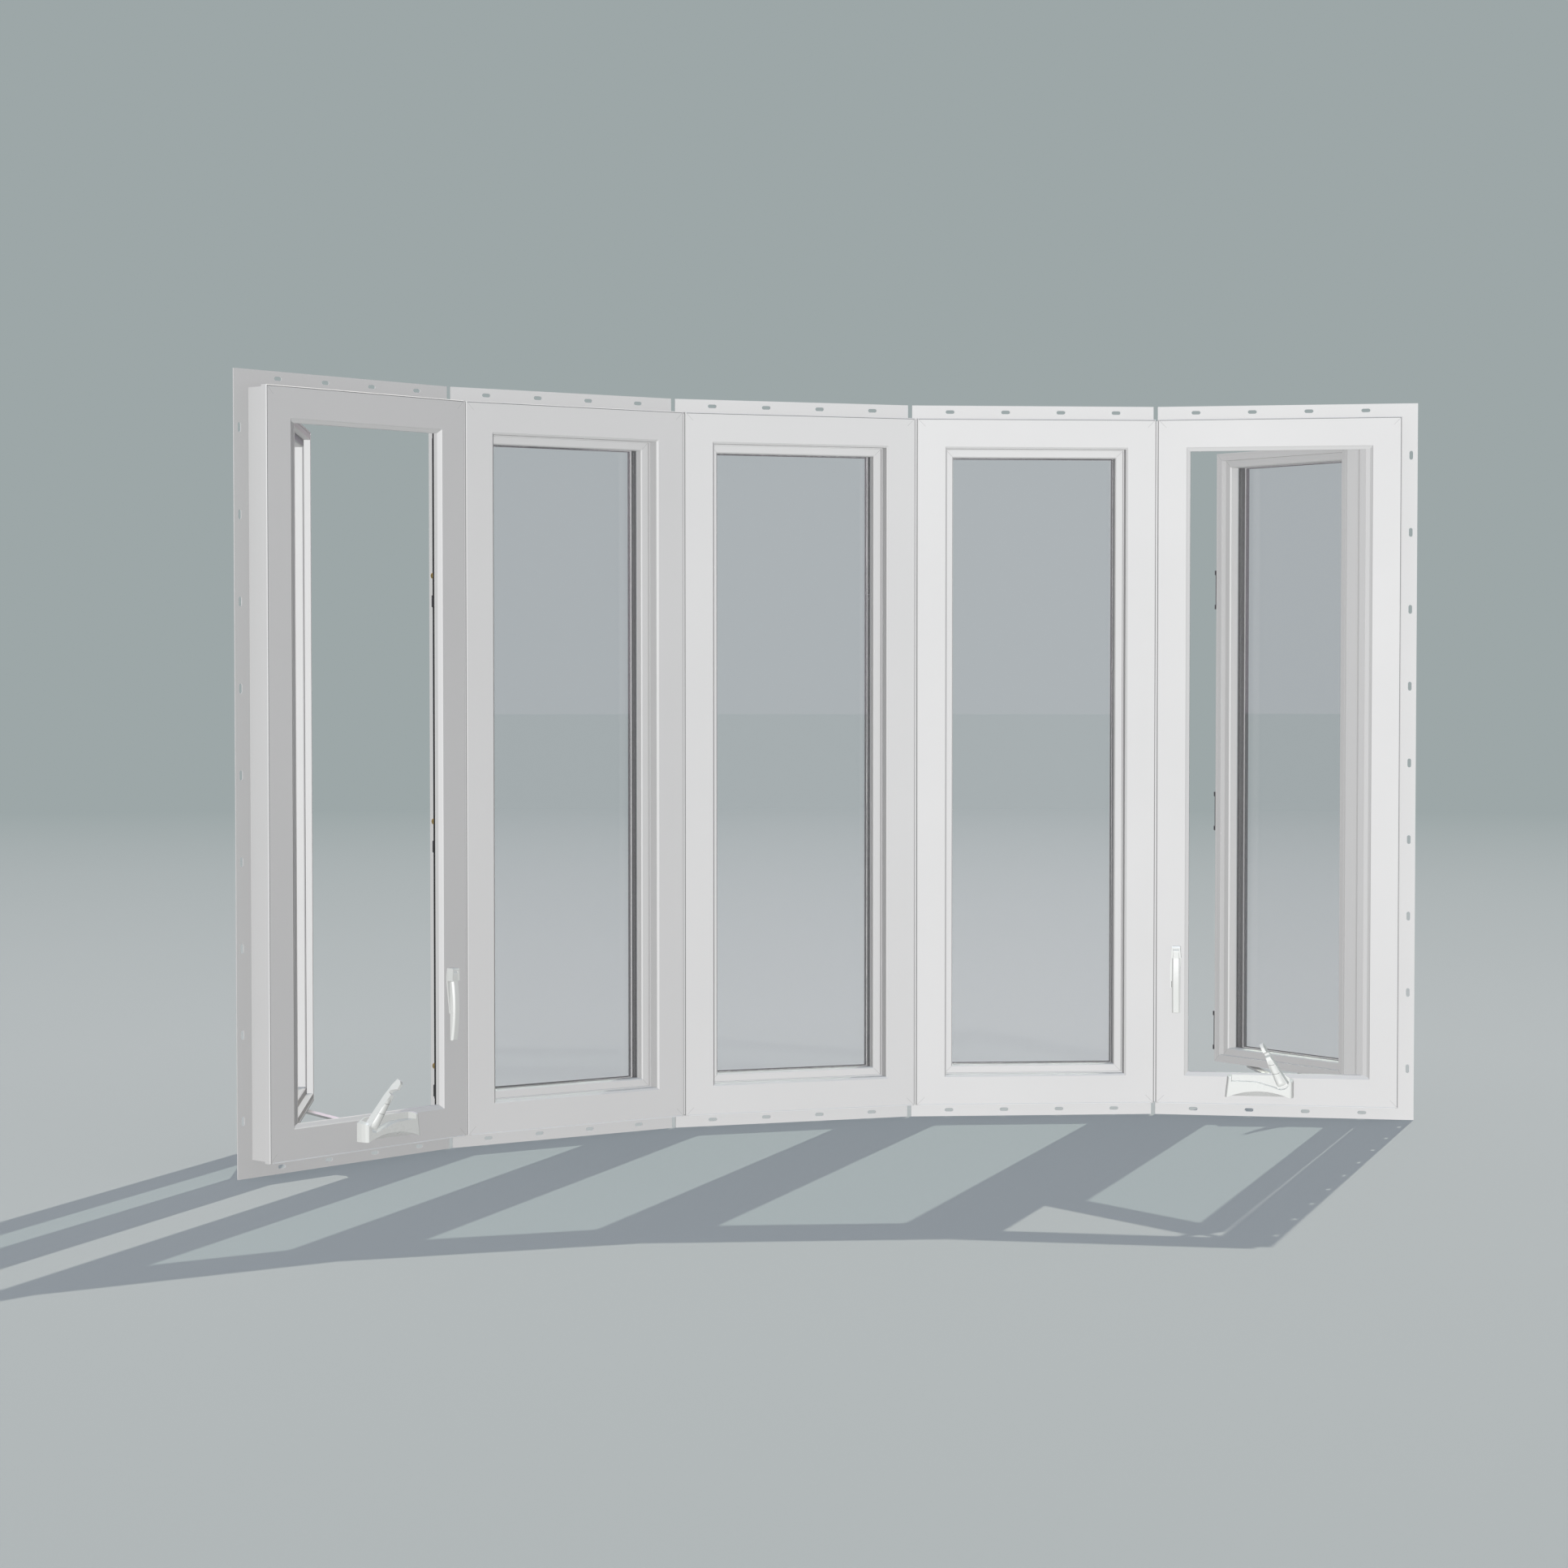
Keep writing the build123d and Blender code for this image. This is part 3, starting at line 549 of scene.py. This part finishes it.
class BowStage(PropertyGroup):
    lens: FloatProperty(
        name="Lens", description="Focal length of the camera", unit="CAMERA", default=77.03, min=10
    )
    camera_place: FloatVectorProperty(
        name="Camera", description="Where the camera stands", subtype="XYZ", unit="LENGTH",
        default=(-2.2333, -6.2453, 0.8989),
    )
    camera_turn: FloatVectorProperty(
        name="Camera turn", description="Camera angles", subtype="EULER", unit="ROTATION",
        default=(math.radians(88.034), 0.0, math.radians(-19.527)),
    )
    sun: light_setting("Back light", "Irradiance of the lamp behind the window", 1.35)
    fill: light_setting("Front light", "Irradiance of the soft lamp in front", 1.83)
    top: light_setting("Top light", "Irradiance of the soft lamp overhead", 0.9)
    low: light_setting("Low light", "Irradiance of the soft lamp low in front", 1.3)
    behind: light_setting("Rear light", "Irradiance of the soft lamp behind", 1.5)
    room: light_setting("Room light", "Strength of the light from all round", 0.05)
    floor: colour_setting("Floor", "Colour of the floor", (0.63, 0.665, 0.68))
    backdrop: colour_setting("Backdrop", "Colour behind the window", (0.337, 0.386, 0.390))
    mirrored: colour_setting(
        "Mirrored room", "Colour that glossy surfaces mirror", (1.12, 0.98, 1.15), top=2
    )


# Operators, one for each group of pieces


class BOW_OT_vinyl(Operator):
    """Finish the frames, sashes, beads, mullions and nailing fins in white vinyl"""

    bl_idname = "bow.vinyl"
    bl_label = "Vinyl"

    def execute(self, context):
        colour = context.scene.bow_colours.vinyl
        vinyl = moulded("White vinyl", colour, low=0.45, high=0.58)
        fin = moulded("Fin vinyl", colour, cloud=1.5, low=0.5, high=0.62)
        for number in UNITS:
            paint(vinyl, f"frame_{number}", f"sash_{number}", f"bead_{number}")
            paint(fin, f"nail_fin_{number}")
            if number + 1 in UNITS:
                paint(vinyl, f"mullion_{number}_{number + 1}")
        return {"FINISHED"}


class BOW_OT_glass(Operator):
    """Make the panes clear glass that lets the lamps' light through, with dark spacers inside"""

    bl_idname = "bow.glass"
    bl_label = "Glass"

    def execute(self, context):
        colours = context.scene.bow_colours
        material, tree, shader = new_material("Float glass")
        set_inputs(shader, {
            "Base Color": with_alpha(colours.glass),
            "Metallic": 0.0,
            "Transmission Weight": 0.972,
            "IOR": 1.5,
            "Specular IOR Level": 0.25,
        })
        haze = noise(tree, object_place(tree), scale=4.0, detail=3.0)
        film = map_range(tree, haze, to_min=0.0, to_max=0.012)
        tree.links.new(film, shader.inputs["Roughness"])
        # Shadow rays pass straight through, slightly dimmed
        path = tree.nodes.new("ShaderNodeLightPath")
        dimmed = {"Color": (0.9, 0.93, 0.93, 1)}
        clear = add_node(tree, "ShaderNodeBsdfTransparent", dimmed)
        mixed = shader_mix(
            tree, path.outputs["Is Shadow Ray"], shader.outputs[0], clear.outputs[0]
        )
        tree.links.new(mixed, tree.nodes["Material Output"].inputs["Surface"])
        for number in UNITS:
            paint(material, f"glass_{number}")
        spacer = moulded("Spacer bar", colours.spacer, cloud=30, low=0.45, high=0.6, shade=0.8)
        paint(spacer, "spacer_bars")
        return {"FINISHED"}


class BOW_OT_hardware(Operator):
    """Finish the cranks, covers, locks, hinges and seals"""

    bl_idname = "bow.hardware"
    bl_label = "Hardware"

    def execute(self, context):
        colours = context.scene.bow_colours
        white = moulded(
            "White hardware paint", colours.hardware, cloud=8, peel=0.08, low=0.22, high=0.34
        )
        rubber = moulded(
            "Black rubber", colours.seal, cloud=40, peel=0.3, low=0.55, high=0.75, shade=0.6
        )
        dark = moulded(
            "Dark plastic and slot shade", colours.plastic, cloud=30, peel=0.2, low=0.35, high=0.5, shade=0.7
        )
        grain = (60.0, 60.0, 1200.0)
        steel = brushed("Brushed steel", colours.steel, grain)
        for number in CASEMENTS:
            paint(white, f"operator_cover_{number}", f"crank_{number}")
            paint(white, f"lock_base_{number}", f"lock_lever_{number}")
            paint(steel, f"hinge_{number}", f"operator_arm_{number}")
        paint(brushed("Blackened steel", colours.bars, grain, low=0.35), "lock_bars")
        paint(rubber, "weather_seals")
        paint(dark, "lock_keepers")
        return {"FINISHED"}


class BOW_OT_seams(Operator):
    """Weld seams, painted shade lines beside the mullion joints and along the frame edges, drip
    beads with a painted highlight, and the ribs of the mullion caps
    """

    bl_idname = "bow.seams"
    bl_label = "Seams and joints"

    def execute(self, context):
        colours = context.scene.bow_colours
        vinyl = bpy.data.materials["White vinyl"]
        seam = moulded("Seam vinyl", scaled(colours.vinyl, 0.8), low=0.5, high=0.6)
        # Dark lines of painted shade where the shadows of the joint gaps and frame edges would fall
        painted_shade = moulded("Painted shade lines", colours.painted_shade, low=0.5, high=0.65)
        # Painted highlight: the drip beads are a lighter white than the vinyl, for the bright line
        # along the bottom edges
        highlight = moulded("Drip bead highlight vinyl", scaled(colours.vinyl, 1.12), low=0.4, high=0.5)
        mesh_piece("weld_seams", "window", seam, self.welds())
        mesh_piece("joint_shade_lines", "window", painted_shade, self.joints())
        mesh_piece("edge_shade_lines", "window", painted_shade, self.shade_lines())
        drips = on_frames(level(6.0, 0.2, FRAME_BOTTOM + 0.6, DRIP_BEAD))
        mesh_piece("drip_bead_highlights", "window", highlight, drips)
        mesh_piece("cap_ribs", "window", vinyl, self.ribs())
        return {"FINISHED"}

    def welds(self):
        """Ridges on the mitres of the frames, the sashes and the beads."""
        on_bead = (SASH_FACE + 0.4, BEAD_INSET - 2.2)
        fixed = mitre_ridges(FIXED_SASH_INSET, *on_bead, FIXED_FACE + 6.4)
        swung = mitre_ridges(CASEMENT_SASH_INSET, 0.4, SASH_FACE - 0.2, 0.0)
        swung += mitre_ridges(CASEMENT_SASH_INSET, *on_bead, 12.0)
        return (
            on_frames(mitre_ridges(0, 1.6, 16.0, 0.02))
            + on_frames(fixed, FIXED_UNITS)
            + pieces_on(swung, END_SASHES)
        )

    def joints(self):
        """A dark line of painted shade down each side of the mullion noses, where the joint gap's
        shadow would fall.
        """
        end_gap, off_edge, depth = 2.0, 0.5, 2.4
        low, high, profile = FRAME_BOTTOM + end_gap, FRAME_TOP - end_gap, half_round(*JOINT_SHADE_LINE)
        lines = []
        for number in UNITS:
            for side in (-1, 1):
                if number + side in UNITS:
                    x = side * (HALF_FRAME + off_edge)
                    lines += on_frames(upright(x, depth, low, high, profile), (number,))
        return lines

    def shade_lines(self):
        """Dark raised lines of painted shade along the top edges and the two outer edges, where the
        edge's shadow would fall.
        """
        inset, profile = 2.0, half_round(*EDGE_SHADE_LINE)
        low, high = FRAME_BOTTOM + inset, FRAME_TOP - inset
        lines = on_frames(level(inset, 0.0, high, profile))
        for number, side in zip(CASEMENTS, (-1, 1)):
            x = side * (HALF_FRAME - inset)
            lines += on_frames(upright(x, 0.0, low, high, profile), (number,))
        return lines

    def ribs(self):
        """Two pairs of ribs along the outside of each mullion cap."""
        face, low, high, profile = 59.0, 34.0, 1390.0, half_round(*RIB)
        lines = []
        for number in list(UNITS)[:-1]:
            for inset in (4.0, 9.0):
                for unit, side in ((number, 1), (number + 1, -1)):
                    x = side * (HALF_FRAME + JOINT / 2 - inset)
                    lines += on_frames(upright(x, face, low, high, profile, OUTWARDS), (unit,))
        return lines


class BOW_OT_glazing(Operator):
    """Soft glazing gaskets on both faces of the glass, and the core of the spacers"""

    bl_idname = "bow.glazing"
    bl_label = "Glazing gaskets"

    def execute(self, context):
        colours = context.scene.bow_colours
        # A quarter-round lip between bead and pane; the wedge outside tapers away from the pane
        quarter, half_turn = np.linspace(0, np.pi / 2, 7), np.linspace(0, np.pi, 9)
        lip = np.stack([1.5 * np.sin(quarter), -1.8 * np.cos(quarter)], axis=1)
        lip = np.vstack([[(-1.2, -1.8)], lip, [(-1.2, 0.0)]])
        band = np.stack([0.5 * np.sin(half_turn), 2.6 * np.cos(half_turn)], axis=1)
        lips, wedges, bands = [], [], []
        for sash, glass, places in (
            (FIXED_SASH_INSET, FIXED_GLASS, [UNITS[number] for number in FIXED_UNITS]),
            (CASEMENT_SASH_INSET, CASEMENT_GLASS, END_SASHES),
        ):
            for rings, outline, cover, depth in (
                (lips, lip, 1.0, glass),
                (wedges, WEDGE, 0.2, glass + 2 * PANE + GLASS_GAP),
                (bands, band, 1.45, glass + PANE + GLASS_GAP / 2),
            ):
                ring = carried_ring(outline, sash + BEAD_INSET - cover, depth)
                rings += pieces_on([ring], places, closed_rows=True)
        gasket = moulded("Glazing gasket", colours.gasket, low=0.5, high=0.6)
        core = moulded("Spacer core", colours.core, cloud=60, low=0.4, high=0.5, shade=0.8)
        rubber = bpy.data.materials["Black rubber"]
        mesh_piece("glazing_gaskets", "window", gasket, lips)
        mesh_piece("glazing_wedges", "window", rubber, wedges)
        mesh_piece("spacer_cores", "window", core, bands)
        return {"FINISHED"}


class BOW_OT_fittings(Operator):
    """Rollers, guides, keeper hooks, rivets, screws and weep covers"""

    bl_idname = "bow.fittings"
    bl_label = "Fittings"

    def execute(self, context):
        brass = brushed("Turned brass", context.scene.bow_colours.brass, (900.0, 60.0, 60.0))
        steel = bpy.data.materials["Brushed steel"]
        dark = bpy.data.materials["Dark plastic and slot shade"]
        vinyl = bpy.data.materials["White vinyl"]
        sleeves = [turned(ROLLER, (JAMB_WALL + 2.6, 37.0, z), ALONG, 32) for z in ROLLERS]
        mesh_piece("lock_rollers", "window", brass, pieces_on(sleeves, ENDS))
        guides = pieces_on(self.guides(), ENDS)
        mesh_piece("bar_guides", "window", dark, guides)
        hooks = pieces_on(self.hooks(), END_SASHES)
        mesh_piece("keeper_hooks", "window", dark, hooks)
        mesh_piece("hinge_screws", "window", steel, pieces_on(self.screws(), ENDS))
        mesh_piece("hinge_rivets", "window", steel, pieces_on(self.rivets(), ENDS))
        hoods = pieces_on(self.hoods(), UNITS.values(), closed_columns=False, caps=False)
        mesh_piece("weep_covers", "window", vinyl, hoods)
        return {"FINISHED"}

    def guides(self):
        """Guides that hold the lock bars to the jamb below each roller, with bevelled ends."""
        heights = np.array([-58.0, -57.0, -37.0, -36.0])
        grow = np.array([0.9, 1.0, 1.0, 0.9])[:, None, None]
        middle = GUIDE.mean(axis=0)
        outline = middle + (GUIDE - middle) * grow
        blocks = []
        for z in ROLLERS:
            points = np.empty((4, len(GUIDE), 3))
            points[..., 0] = JAMB_WALL + outline[..., 0]
            points[..., 1] = outline[..., 1]
            points[..., 2] = (heights + z)[:, None]
            blocks.append(points)
        return blocks

    def hooks(self):
        """Keeper plates folded round the sash's free edge, with a horn at each end."""
        angle = np.linspace(0, np.pi, 9)
        depth = 2.2 * np.cos(angle) + 2.8
        plates = []
        for z in KEEPERS:
            for low, high, reach in ((-40, 40, 4.4), (-40, -31, 7.5), (31, 40, 7.5)):
                x = SASH_EDGE - reach * np.sin(angle) ** 0.5
                outline = np.stack([x, depth, np.zeros(9)], axis=1)
                plates.append(np.stack([outline + (0, 0, z + low), outline + (0, 0, z + high)]))
        return plates

    def screws(self):
        """Screws of the hinge tracks, of the lock bars and of the operator."""
        low, high = TRACK_FACE, FRAME_BOTTOM + FRAME_TOP - TRACK_FACE
        heads = []
        for x in (-66.0, -30.0, 60.0, 90.0):
            for z, way in ((low, 1), (high, -1)):
                heads.append(screw((x, 44.0, z), (0, 0, way), 3.6, 1.4))
        for z in (110.0, 330.0, 760.0, 980.0, 1240.0):
            heads.append(screw((JAMB_WALL + 3.0, 37.0, z), ALONG, 3.2, 1.2))
        for x in (-10.0, 30.0):
            heads.append(screw((x, 19.0, 72.0), UP, 3.4, 1.3))
        return heads

    def rivets(self):
        """Domed rivets of the hinge brackets at sill and head."""
        angle = np.linspace(0, 1.45, 7)
        dome = np.stack([4.6 * np.cos(angle), 1.8 * np.sin(angle)], axis=1)
        ends = ((RIVET_FACE, 1), (FRAME_BOTTOM + FRAME_TOP - RIVET_FACE, -1))
        return [turned(dome, (186.0, 44.0, z), (0, 0, way), 28) for z, way in ends]

    def hoods(self):
        """Hooded covers over the weep slots, outside on each bottom rail.

        The hood stands out by one less the sixth power along it, and less the cube up it.
        """
        along, up = np.meshgrid(np.linspace(-1, 1, 25), np.linspace(0, 1, 9))
        bulge = 3.5 * np.clip(1 - np.abs(along) ** 6, 0, 1) * (1 - up**3)
        half_length, face, foot, height = 19.0, 56.0, 42.0, 11.0
        return [
            np.stack([x + half_length * along, face + bulge, foot + height * up], axis=-1)
            for x in (-130.0, 130.0)
        ]


class BOW_OT_handles(Operator):
    """Painted shade lines for the grooves of the folding cranks, their palms, and painted shade in
    the slots beside the lock levers
    """

    bl_idname = "bow.handles"
    bl_label = "Handle details"

    def execute(self, context):
        colour = context.scene.bow_colours.hardware
        # Painted shade: the crank grooves are dark lines well below the white of the paint
        shade = moulded("Painted groove shade", scaled(colour, 0.45), low=0.5, high=0.6)
        white = bpy.data.materials["White hardware paint"]
        dark = bpy.data.materials["Dark plastic and slot shade"]
        # Painted shade: a dark strip stands for the shadowed hole of the slot beside each lock
        # lever
        slot = upright(LOCK_X - 9.1, -3.0, 262.0, 275.0, half_round(*LOCK_SLOT_SHADE))
        for number, end in zip((5, 1), ENDS):
            place, body = end @ crank_matrix(), f"crank_{number}"
            shade_lines = pieces_on([self.groove_shade(24.0), self.groove_shade(44.0)], [place])
            mesh_piece(f"crank_groove_shades_{number}", body, shade, shade_lines)
            palm = pieces_on([self.palm()], [place])
            mesh_piece(f"crank_palm_{number}", body, white, palm)
            line = pieces_on(slot, [end])
            mesh_piece(f"lock_slot_shade_{number}", "window", dark, line)
        return {"FINISHED"}

    def groove_shade(self, height):
        """A dark line of painted shade, standing for a groove, that follows the dome across the
        palm, a little aslant.
        """
        slant, sunk = 1.5, 0.05
        share = np.linspace(-0.94, 0.94, 25)[:, None]
        across, out = half_round(*CRANK_GROOVE_SHADE).T
        z = height - slant * share + across
        y = -palm_depth(height, share) - out + sunk
        return np.stack([share * palm_half(height) + 0 * z, y, z], axis=-1)

    def palm(self):
        """The domed face of the crank."""
        share = np.linspace(-1, 1, 21)[None]
        height = np.linspace(-6.8, 58.8, 42)[:, None]
        points = [share * palm_half(height), -palm_depth(height, share), height + 0 * share]
        return np.stack(points, axis=-1)


class BOW_OT_stage(Operator):
    """Lay the floor, set the lamps and place the camera"""

    bl_idname = "bow.stage"
    bl_label = "Studio stage"

    def execute(self, context):
        scene, stage = context.scene, context.scene.bow_stage
        self.floor(stage)
        self.world(scene, stage)
        self.lamp(
            "Back sun", stage.sun, spread=0.3, direction=(-0.4557, -0.5795, -0.6756),
            colour=(1.0, 0.963, 0.83), shadow=True,
        )
        self.lamp(
            "Overhead softbox", stage.top, spread=12.0, direction=(0.0, 0.05, -1.0),
            colour=(0.8, 0.9, 1.0),
        )
        self.lamp("Front softbox", stage.fill, spread=30.0, direction=(0.36, 0.909, -0.208))
        self.lamp("Low softbox", stage.low, spread=30.0, direction=(0.30, 0.60, 0.74))
        # The disc of the rear lamp would show in the glass, so these rays don't meet it
        rear = self.lamp("Rear softbox", stage.behind, spread=30.0, direction=(-0.12, -0.98, 0.06))
        rear.visible_transmission = rear.visible_glossy = False
        data = bpy.data.cameras.new("Camera")
        data.lens = stage.lens
        data.clip_end = 200
        camera = bpy.data.objects.new("Camera", data)
        camera.location = stage.camera_place
        camera.rotation_euler = stage.camera_turn
        context.collection.objects.link(camera)
        scene.camera = camera
        scene.view_settings.view_transform = "Standard"
        # Faces in shade take no light from their neighbours
        scene.cycles.diffuse_bounces = 0
        return {"FINISHED"}

    def lamp(self, name, strength, spread, direction, colour=(1.0, 1.0, 1.0), shadow=False):
        data = bpy.data.lights.new(name, "SUN")
        data.energy = strength
        data.angle = math.radians(spread)
        data.color = colour
        data.use_shadow = shadow
        lamp = bpy.data.objects.new(name, data)
        lamp.rotation_euler = Vector(direction).to_track_quat("-Z", "Y").to_euler()
        bpy.context.collection.objects.link(lamp)
        return lamp

    def floor(self, stage):
        """A disc of rings: radius grows evenly, and each ring is a full circle."""
        reach, rings, segments = 60.0, 25, 96
        radius = np.linspace(0.0, reach, rings)[:, None]
        angle = np.linspace(0, 2 * np.pi, segments, endpoint=False)[None]
        points = np.stack([radius * np.cos(angle), radius * np.sin(angle), 0 * radius * angle], -1)
        vertices, faces = surface(points[1:], caps=False)
        faces.append(list(range(segments)))
        mesh = bpy.data.meshes.new("floor")
        mesh.from_pydata(vertices.tolist(), [], faces)
        mesh.update()
        floor = bpy.data.objects.new("floor", mesh)
        bpy.context.collection.objects.link(floor)
        material, tree, shader = new_material("Studio floor")
        mesh.materials.append(material)
        set_inputs(shader, {"Roughness": 0.9, "Specular IOR Level": 0.1})
        where = object_place(tree)
        cloud = noise(tree, where, scale=0.25, detail=2.0)
        tone = colour_mix(tree, cloud, with_alpha(stage.floor), with_alpha(stage.floor, 0.96))
        tree.links.new(tone, shader.inputs["Base Color"])
        # Far away the floor passes into the backdrop
        length = add_node(tree, "ShaderNodeVectorMath", {0: where}, operation="LENGTH")
        fade = map_range(tree, length.outputs["Value"], from_min=2.0, from_max=15.0)
        glow = add_node(tree, "ShaderNodeEmission", {"Color": with_alpha(stage.backdrop)})
        mixed = shader_mix(tree, fade, shader.outputs[0], glow.outputs[0])
        tree.links.new(mixed, tree.nodes["Material Output"].inputs["Surface"])

    def world(self, scene, stage):
        world = bpy.data.worlds.new("Studio")
        scene.world = world
        world.use_nodes = True
        tree = world.node_tree
        room = tree.nodes["Background"]
        set_inputs(room, {"Color": (1, 1, 1, 1), "Strength": stage.room})
        path = tree.nodes.new("ShaderNodeLightPath")
        # A cool pale room shows in mirror reflections, the backdrop straight on and through glass
        last = room.outputs[0]
        for ray, colour in (
            ("Is Glossy Ray", stage.mirrored),
            ("Is Transmission Ray", stage.backdrop),
            ("Is Camera Ray", stage.backdrop),
        ):
            seen = add_node(tree, "ShaderNodeBackground", {"Color": with_alpha(colour)})
            last = shader_mix(tree, path.outputs[ray], last, seen.outputs[0])
        tree.links.new(last, tree.nodes["World Output"].inputs["Surface"])


class BOW_PT_panel(Panel):
    bl_idname = "BOW_PT_panel"
    bl_label = "Bow Window"
    bl_space_type = "VIEW_3D"
    bl_region_type = "UI"
    bl_category = "Bow Window"

    def draw(self, context):
        layout = self.layout
        for operator in OPERATORS:
            layout.operator(operator.bl_idname)
        for group in (context.scene.bow_colours, context.scene.bow_stage):
            box = layout.box()
            for key in group.__annotations__:
                box.prop(group, key)


GROUPS = (BowColours, BowStage)
OPERATORS = (
    BOW_OT_vinyl, BOW_OT_glass, BOW_OT_hardware, BOW_OT_seams, BOW_OT_glazing,
    BOW_OT_fittings, BOW_OT_handles, BOW_OT_stage,
)


def register():
    for kind in GROUPS + OPERATORS + (BOW_PT_panel,):
        bpy.utils.register_class(kind)
    bpy.types.Scene.bow_colours = PointerProperty(type=BowColours)
    bpy.types.Scene.bow_stage = PointerProperty(type=BowStage)


def unregister():
    del bpy.types.Scene.bow_stage
    del bpy.types.Scene.bow_colours
    for kind in reversed(GROUPS + OPERATORS + (BOW_PT_panel,)):
        bpy.utils.unregister_class(kind)


def main():
    register()
    for operator in OPERATORS:
        family, name = operator.bl_idname.split(".")
        getattr(getattr(bpy.ops, family), name)()


if __name__ == "__main__":
    main()
